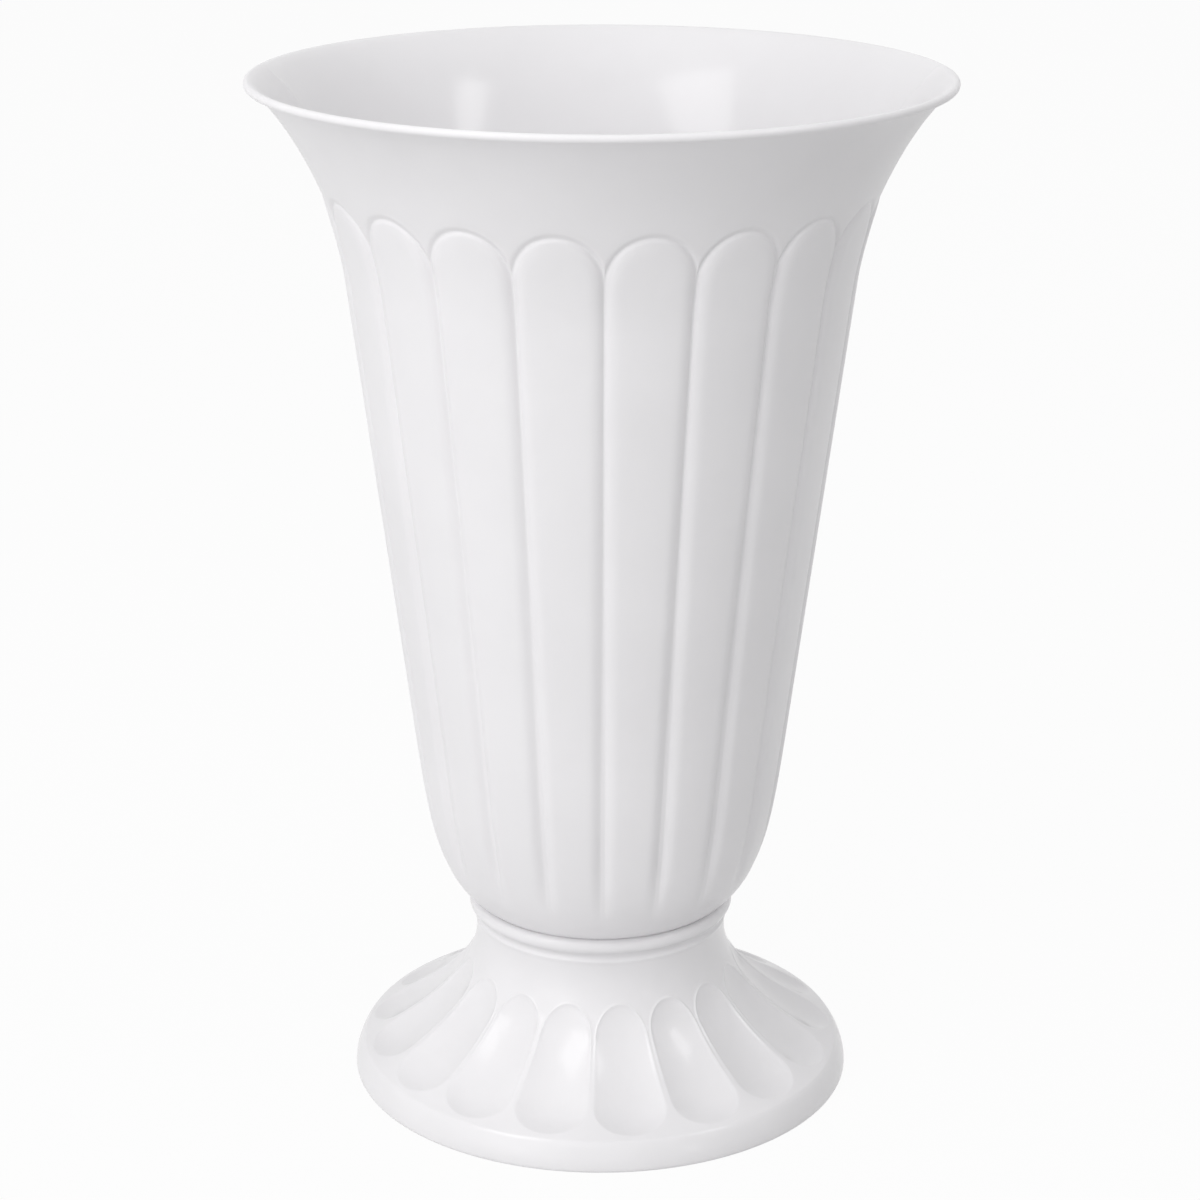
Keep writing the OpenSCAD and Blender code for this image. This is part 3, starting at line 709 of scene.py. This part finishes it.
def turnedMesh(name, outline, columns, offset):
    # A closed solid turned from an outline that starts and ends on its own axis
    verts = []
    for r, z in outline[1:-1]:
        for i in range(columns):
            angle = 2 * math.pi * i / columns
            verts.append(((offset + r * math.cos(angle)) * mm, r * math.sin(angle) * mm, z * mm))
    low, top = len(verts), len(verts) + 1
    verts += [(offset * mm, 0, outline[0][1] * mm), (offset * mm, 0, outline[-1][1] * mm)]
    rings = len(outline) - 2
    faces = []
    for i in range(columns):
        j = (i + 1) % columns
        faces.append((low, j, i))
        faces.append((top, (rings - 1) * columns + i, (rings - 1) * columns + j))
        for k in range(rings - 1):
            faces.append((k * columns + i, k * columns + j, (k + 1) * columns + j, (k + 1) * columns + i))
    mesh = bpy.data.meshes.new(name)
    mesh.from_pydata(verts, [], faces)
    made = bpy.data.objects.new(name, mesh)
    scene.collection.objects.link(made)
    return made


def makeBosses():
    # Three round bosses on the floor inside, each with a filleted foot and a rounded top
    size = bossSizes
    floorTop = bodySizes["deckHeight"] + bodySizes["floor"]
    top = bodySizes["deckHeight"] + size["height"]
    r = size["across"] / 2
    outline = [(0, floorTop - 0.6), (r + 1.9, floorTop - 0.6), (r + 1.9, floorTop),
               (r + 0.9, floorTop + 0.12), (r + 0.35, floorTop + 0.45), (r + 0.08, floorTop + 1.0),
               (r, floorTop + 1.9), (r - 0.15, top - 1.0), (r - 0.4, top - 0.35), (r - 0.95, top),
               (r - 2.5, top), (0, top)]
    start = turnedMesh("oneBoss", outline, size["columns"], size["circle"] / 2)
    piece = plainMesh("screwBosses", start, repeatTree("threeBosses", bodyPlastic), {
        "Count": size["count"], "First turn": size["firstTurn"]}, sharpAngle)
    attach(piece, "vase")
    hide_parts("vase_body")
    return piece


body = makeBody()
print("body made:", len(body.data.polygons), "faces")
bosses = makeBosses()
print("bosses made:", len(bosses.data.polygons), "faces")


# The foot: a closed outline turned round by a tree that sinks the scallops

footSizes = {
    "across": 248.8,
    "lipTopAcross": 238.2,
    "lipHeight": 14.4,
    "flareSlope": 0.45,
    "neckAcross": 124.4,
    "flareTop": 74.0,
    "ringAcross": 131.4,
    "ringThickness": 7.6,
    "ringRise": 2.7,
    "recessDepth": 0.5,
    "ledgeShare": 0.62,
    "neckInsideLow": 69.0,
    "cupClearance": 0.7,
    "wall": 2.5,
    "deck": 2.5,
    "spigotClearance": 0.5,
    "ribs": 6,
    "ribThickness": 2.0,
    "ribDepth": 9.0,
    "scallops": 17,
    "scallopTurn": 8.0,
    "scallopShare": 0.92,
    "scallopTopDepth": 2.2,
    "scallopLowDepth": 3.7,
    "scallopTopGap": 15.5,
    "scallopLowGap": 2.5,
    "scallopRound": 16.0,
    "edgeSoftness": 0.05,
    "edgeLineHeight": 0.28,
    "edgeLineSpread": 0.09,
    "flareTopPull": 0.54,
    "flareLowPull": 0.12,
    "edgeTopPull": 0.12,
    "edgeLowPull": 0.4,
    "scallopBend": 12.0,
    "bendStart": 12.2,
    "bendEnd": 1.6,
    "columnsPerScallop": 36,
    "crowding": 0.72,
}


def flareLine(size):
    top = (size["neckAcross"] / 2, size["flareTop"])
    low = (size["lipTopAcross"] / 2, size["lipHeight"])
    topPull = size["flareTopPull"] * (top[1] - low[1])
    lowPull = size["flareLowPull"] * (low[0] - top[0])
    return bezier(top, (top[0], top[1] - topPull),
                  (low[0] - lowPull, low[1] + size["flareSlope"] * lowPull), low, 160)


def footRows(size, flare):
    # The closed outline as rows, from the deck's hole over the ring, down the outside and back up
    # the inside
    deckTop = bodySizes["deckHeight"]
    deckLow = deckTop - size["deck"]
    holeR = bodySizes["drainAcross"] / 2 + bodySizes["spigotWall"] + size["spigotClearance"]
    neckR = size["neckAcross"] / 2
    innerR = neckR - size["wall"]
    ringR = size["ringThickness"] / 2
    ring = (size["ringAcross"] / 2 - ringR, deckTop + size["ringRise"])
    crownAt = bodyRules(bodySizes, bodyOutline(bodySizes))[0]
    steps = np.concatenate([[0], np.cumsum(np.linalg.norm(np.diff(flare, axis=0), axis=1))])
    flareLength = float(steps[-1])
    rows = []

    def plainRow(r, z):
        rows.append({"r": r, "z": z, "plain": 1})

    def flareRow(s, side=0.0, follow=0.0, inset=0.0):
        rows.append({"r": 0, "z": 0, "plain": 0, "s": s * mm, "side": side, "follow": follow,
                     "inset": inset * mm})

    for r, z in [(holeR, deckTop - 0.3), (holeR + 0.3, deckTop), (holeR + 12, deckTop),
                 (innerR - 6, deckTop), (innerR - 0.6, deckTop), (innerR, deckTop + 0.6)]:
        plainRow(r, z)
    # The cup keeps its clearance to the bowl up to where the ring's round top begins
    for z in (deckTop + 2.2, deckTop + 3.4, deckTop + 4.4, deckTop + 5.2):
        plainRow(max(innerR, crownAt(z) + size["cupClearance"]), z)
    startAngle = math.degrees(math.acos((crownAt(deckTop + 6.0) + size["cupClearance"] - ring[0]) / ringR))
    for r, z in arc(ring, ringR, startAngle, -78, 20):
        plainRow(r, z)
    ledgeZ = size["flareTop"] + size["ledgeShare"] * (ring[1] - ringR - size["flareTop"])
    recessR = neckR - size["recessDepth"]
    ledgeR = neckR + size["recessDepth"]
    for r, z in [(recessR + 0.5, ring[1] - ringR - 0.05), (recessR, ring[1] - ringR - 0.5),
                 (recessR, ledgeZ + 1.6), (recessR + 0.25, ledgeZ + 1.0), (ledgeR - 0.25, ledgeZ + 0.25),
                 (ledgeR, ledgeZ - 0.1), (ledgeR, ledgeZ - 0.6), (neckR + 0.2, ledgeZ - 1.6),
                 (neckR, ledgeZ - 2.6)]:
        plainRow(r, z)
    topS = size["scallopTopGap"] + size["scallopRound"]
    lowS = flareLength - size["scallopLowGap"] - size["scallopRound"]
    for s in (0.5, 4.0, 8.0, 11.5):
        flareRow(s)
    # Rows above and below a scallop bend less and less away from its ends
    around = [(1.7, 0.5), (1.35, 0.8), (1.2, 1.0)]
    for follow, gap in [(2.6, 0.2)] + around:
        flareRow(size["bendStart"] + gap + size["scallopRound"] * follow, -1.0, follow)
    follows = [1.1, 1.06, 1.03, 1.015, 1.0, 0.985, 0.965, 0.94, 0.91, 0.87, 0.81, 0.72, 0.58, 0.36]
    bend = size["scallopBend"]
    drops = [bend * max(1 - f, 0) for f in follows]
    for follow, drop in zip(follows, drops):
        flareRow(topS + drop, -1.0, follow)
    for s in np.linspace(topS + bend, lowS - bend, 12):
        flareRow(float(s))
    for follow, drop in reversed(list(zip(follows[2:], drops[2:]))):
        flareRow(lowS - drop, 1.0, follow)
    lowEnd = flareLength - size["scallopLowGap"] + size["bendEnd"]
    for follow, gap in [(1.08, 1.2)] + [(f, g) for f, g in reversed(around)] + [(2.6, 0.2)]:
        flareRow(lowEnd - 0.8 * gap - size["scallopRound"] * follow, 1.0, follow)
    flareRow(lowEnd)
    flareRow(0.5 * (lowEnd + flareLength))
    footR = size["across"] / 2
    lipR = size["lipTopAcross"] / 2
    lipH = size["lipHeight"]
    edgePull = size["edgeTopPull"] * lipH
    edge = bezier((lipR, lipH), (lipR + edgePull, lipH - size["flareSlope"] * edgePull),
                  (footR, 1 + size["edgeLowPull"] * lipH), (footR, 1), 18)
    for r, z in edge:
        plainRow(float(r), float(z))
    for r, z in [(footR - 0.3, 0.3), (footR - 1, 0), (footR - size["wall"] + 0.3, 0),
                 (footR - size["wall"], 0.3)]:
        plainRow(r, z)
    for i in range(16, 2, -2):
        along = edge[i + 1] - edge[i - 1]
        side = np.array([along[1], -along[0]]) / np.linalg.norm(along)
        plainRow(float(edge[i][0] + side[0] * size["wall"]), float(edge[i][1] + side[1] * size["wall"]))
    for s in np.linspace(flareLength - 3.0, 6.0, 26):
        flareRow(float(s), 0.0, 0.0, size["wall"])
    collarR = holeR + size["ribThickness"]
    collarLow = deckLow - size["ribDepth"]
    for r, z in [(innerR, size["neckInsideLow"]), (innerR, deckLow - 1.2), (innerR - 0.4, deckLow - 0.35),
                 (innerR - 1.3, deckLow), (collarR + 14, deckLow), (collarR + 1.1, deckLow),
                 (collarR + 0.3, deckLow - 0.3), (collarR, deckLow - 1.1),
                 (collarR - 0.2, collarLow + 0.5), (collarR - 0.6, collarLow), (holeR + 0.5, collarLow),
                 (holeR, collarLow + 0.4), (holeR, deckTop - 0.3)]:
        plainRow(r, z)
    return rows, topS, lowS


def flareCurve(name, flare):
    curve = bpy.data.curves.new(name, "CURVE")
    curve.dimensions = "3D"
    spline = curve.splines.new("POLY")
    spline.points.add(len(flare) - 1)
    for point, (r, z) in zip(spline.points, flare):
        point.co = (r * mm, 0, z * mm, 1)
    made = bpy.data.objects.new(name, curve)
    scene.collection.objects.link(made)
    return made


def scallopTree(rowCount, material):
    tree, fields = ruleTree("scallopShell", {
        "Scallops": 17, "Columns per scallop": 24, "Crowding": 0.7, "First scallop": 0.0,
        "Width share": 0.9, "Top depth": 0.003, "Low depth": 0.004, "End length": 0.016, "Top end": 0.03,
        "Low end": 0.08, "Edge softness": 0.05, "Edge line height": 0.0003, "Edge line spread": 0.1},
        ("Flare",))
    grid, around, rowIndex = rowGrid(tree, rowCount, fields["Scallops"] * fields["Columns per scallop"])
    rowRadius, _, rowHeight = fromRow(tree, fields, rowIndex)
    rowS, side, follow = fromRow(tree, fields, rowIndex, "rowFlare")
    plain, inset, _ = fromRow(tree, fields, rowIndex, "rowWall")
    number, across = spread(tree, around, fields["Scallops"], fields["Crowding"])
    turned = (number + (across + 1.0) * 0.5) * 360.0 / fields["Scallops"]
    turn = (fields["First scallop"] + turned) * (math.pi / 180)
    within = across / fields["Width share"]
    reach = calc(tree, "SQRT", calc(tree, "MAXIMUM", follow * follow - within * within, 0.0))
    along = rowS + side * fields["End length"] * reach
    # The point and the slope of the flare at that length
    info = addNode(tree, "GeometryNodeObjectInfo", values={"Object": fields["Flare"]})
    sampled = addNode(tree, "GeometryNodeSampleCurve", {"mode": "LENGTH", "data_type": "FLOAT"}, {
        "Curves": out(tree, info, "Geometry"), "Length": along})
    flareX, _, flareZ = split(tree, out(tree, sampled, "Position"))
    tangentX, _, tangentZ = split(tree, out(tree, sampled, "Tangent"))
    pastEither = calc(tree, "MAXIMUM", fields["Top end"] - along, along - fields["Low end"])
    pastEnd = calc(tree, "MAXIMUM", pastEither, 0.0) / fields["End length"]
    room = 1.0 - within * within - pastEnd * pastEnd
    softness = fields["Edge softness"]
    soft = (room + calc(tree, "SQRT", room * room + softness * softness)) * 0.5
    share = clamped(tree, (along - fields["Top end"]) / (fields["Low end"] - fields["Top end"]), 0.0, 1.0)
    depth = fields["Top depth"] + (fields["Low depth"] - fields["Top depth"]) * share
    # A fine raised line runs round the upper end of each scallop, on the outside only
    offEdge = room / fields["Edge line spread"]
    edgeLine = calc(tree, "EXPONENT", offEdge * offEdge * -1.0) * (1.0 - share)
    outside = 1.0 - clamped(tree, inset / mm, 0.0, 1.0)
    inward = inset + depth * soft - fields["Edge line height"] * edgeLine * outside
    # The outward direction is the tangent turned by a quarter
    flareR = flareX + tangentZ * inward
    flareH = flareZ - tangentX * inward
    radius = rowRadius * plain + flareR * (1.0 - plain)
    height = rowHeight * plain + flareH * (1.0 - plain)
    finishTree(tree, placed(tree, grid, radius, turn, height), material)
    return tree


def makeFoot():
    size = footSizes
    flare = flareLine(size)
    rows, topS, lowS = footRows(size, flare)
    start = rowObject("footRows", rows, {
        "rowFlare": ("s", "side", "follow"), "rowWall": ("plain", "inset", "none")})
    guide = flareCurve("footFlare", flare)
    tree = scallopTree(len(rows), footPlastic)
    piece = plainMesh("scallopedFoot", start, tree, {
        "Scallops": size["scallops"],
        "Columns per scallop": size["columnsPerScallop"],
        "Crowding": size["crowding"],
        "First scallop": size["scallopTurn"] - 180.0 / size["scallops"],
        "Width share": size["scallopShare"],
        "Top depth": size["scallopTopDepth"] * mm,
        "Low depth": size["scallopLowDepth"] * mm,
        "End length": size["scallopRound"] * mm,
        "Top end": topS * mm,
        "Low end": lowS * mm,
        "Edge softness": size["edgeSoftness"],
        "Edge line height": size["edgeLineHeight"] * mm,
        "Edge line spread": size["edgeLineSpread"],
        "Flare": guide,
    }, sharpAngle)
    bpy.data.objects.remove(guide)
    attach(piece, "vase")
    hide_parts("foot")
    return piece


def makeRibs():
    # Ribs under the deck, from the collar to the neck's wall, each with a drafted section and
    # rounded lower edges
    size = footSizes
    deckLow = bodySizes["deckHeight"] - size["deck"]
    low = deckLow - size["ribDepth"]
    holeR = bodySizes["drainAcross"] / 2 + bodySizes["spigotWall"] + size["spigotClearance"]
    inR = holeR + size["ribThickness"] / 2
    outR = (size["neckAcross"] - size["wall"]) / 2
    half = size["ribThickness"] / 2
    section = [(half + 0.6, deckLow + 0.3), (half + 0.2, deckLow - 0.4), (half, deckLow - 1.0),
               (half - 0.15, low + 0.5), (half - 0.3, low + 0.12), (half - 0.6, low)]
    section += [(-y, z) for y, z in reversed(section)]
    count = len(section)
    verts = [(x * mm, y * mm, z * mm) for x in (inR, outR) for y, z in section]
    faces = [(i, (i + 1) % count, count + (i + 1) % count, count + i) for i in range(count)]
    faces += [tuple(range(count - 1, -1, -1)), tuple(range(count, 2 * count))]
    mesh = bpy.data.meshes.new("oneRib")
    mesh.from_pydata(verts, [], faces)
    start = bpy.data.objects.new("oneRib", mesh)
    scene.collection.objects.link(start)
    piece = plainMesh("deckRibs", start, repeatTree("evenRibs", footPlastic), {
        "Count": size["ribs"], "First turn": 0.0}, sharpAngle)
    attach(piece, "vase")
    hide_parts("foot")
    return piece


foot = makeFoot()
print("foot made:", len(foot.data.polygons), "faces")
ribs = makeRibs()
print("ribs made:", len(ribs.data.polygons), "faces")


# CAD nodes that stay

def coat(name, material):
    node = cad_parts[name]
    node.data.materials.clear()
    node.data.materials.append(material)


for number in range(1, bossSizes["count"] + 1):
    coat(f"fixing_screw_{number}", screwSteel)
coat("drain_plug", plugPlastic)


# Camera, floor, backdrop and lights

viewSizes = {
    "cameraX": -0.46,
    "cameraY": -1387.6,
    "cameraZ": 713.0,
    "pitch": 18.652,
    "roll": 0.073,
    "lens": 90.29,
    "sensor": 36.0,
    "clipEnd": 50.0,
    "floorHalf": 20000.0,
    "floorDiffuse": 0.66,
    "floorGlow": 0.95,
    "worldLevel": 0.487,
    "worldSeen": 0.98,
    "lampAim": 350.0,
}

# Each lamp: degrees to the right of the front, degrees up, metres away, its width and height, its
# power in watts, and whether gloss shows it
lamps = {
    "keyLamp": (-50.0, 44.0, 2.4, 1.0, 1.15, 11.0, True),
    "rightLamp": (66.0, 42.0, 2.4, 0.45, 0.8, 5.0, True),
    "frontLamp": (-12.0, 40.0, 2.5, 1.2, 1.2, 12.5, False),
    "leftLamp": (-95.0, 20.0, 2.4, 1.2, 1.6, 4.0, False),
    "topLamp": (0.0, 88.0, 2.0, 1.6, 1.6, 4.0, False),
    "lowLamp": (-40.0, 4.0, 2.4, 1.2, 0.8, 12.3, False),
    "windowLamp": (40.0, 2.0, 2.4, 0.16, 0.4, 0.7, True),
    "backLamp": (160.0, 45.0, 2.4, 1.2, 1.2, 0.6, False),
}


def makeCamera(size):
    data = bpy.data.cameras.new("photoCamera")
    data.lens = size["lens"]
    data.sensor_width = size["sensor"]
    data.clip_end = size["clipEnd"]
    camera = bpy.data.objects.new("photoCamera", data)
    camera.location = (size["cameraX"] * mm, size["cameraY"] * mm, size["cameraZ"] * mm)
    tilt = Matrix.Rotation(math.radians(90 - size["pitch"]), 3, "X")
    camera.rotation_euler = (tilt @ Matrix.Rotation(math.radians(size["roll"]), 3, "Z")).to_euler()
    scene.collection.objects.link(camera)
    scene.camera = camera


def seenRay(tree):
    # 1 for the camera and for what gloss and glass show, 0 for the light that falls on the object
    path = tree.nodes.new("ShaderNodeLightPath")
    seen = calc(tree, "MAXIMUM", out(tree, path, "Is Camera Ray"), out(tree, path, "Is Glossy Ray"))
    return calc(tree, "MAXIMUM", seen, out(tree, path, "Is Transmission Ray"))


def makeFloor(size):
    half = size["floorHalf"] * mm
    mesh = bpy.data.meshes.new("studioFloor")
    corners = [(-half, -half, 0), (half, -half, 0), (half, half, 0), (-half, half, 0)]
    mesh.from_pydata(corners, [], [(0, 1, 2, 3)])
    floor = bpy.data.objects.new("studioFloor", mesh)
    scene.collection.objects.link(floor)
    material = bpy.data.materials.new("paleFloor")
    material.use_nodes = True
    tree = material.node_tree
    tree.nodes.remove(tree.nodes["Principled BSDF"])
    level = size["floorDiffuse"]
    matt = addNode(tree, "ShaderNodeBsdfDiffuse", values={"Color": (level, level, level, 1)})
    glow = addNode(tree, "ShaderNodeEmission", values={"Color": (1, 1, 1, 1), "Strength": 1.0})
    share = seenRay(tree) * size["floorGlow"]
    both = addNode(tree, "ShaderNodeMixShader", values={0: share, 1: out(tree, matt), 2: out(tree, glow)})
    tree.links.new(both.outputs[0], tree.nodes["Material Output"].inputs["Surface"])
    mesh.materials.append(material)


def makeWorld(size):
    world = bpy.data.worlds.new("studioWorld")
    scene.world = world
    world.use_nodes = True
    tree = world.node_tree
    background = tree.nodes["Background"]
    background.inputs["Color"].default_value = (1, 1, 1, 1)
    level = size["worldLevel"]
    plug(tree, background.inputs["Strength"], level + seenRay(tree) * (size["worldSeen"] - level))


def areaLamp(name, right, up, distance, width, height, power, inGloss):
    data = bpy.data.lights.new(name, "AREA")
    data.shape = "RECTANGLE"
    data.size = width
    data.size_y = height
    data.energy = power
    lamp = bpy.data.objects.new(name, data)
    lamp.visible_glossy = inGloss
    across, raised = math.radians(right), math.radians(up)
    level = math.cos(raised)
    away = Vector((math.sin(across) * level, -math.cos(across) * level, math.sin(raised)))
    lamp.location = away * distance + Vector((0, 0, viewSizes["lampAim"] * mm))
    lamp.rotation_euler = away.to_track_quat("Z", "Y").to_euler()
    scene.collection.objects.link(lamp)


makeCamera(viewSizes)
makeFloor(viewSizes)
makeWorld(viewSizes)
for lampName, lamp in lamps.items():
    areaLamp(lampName, *lamp)
scene.view_settings.view_transform = "Standard"
print("camera, floor and lights made")
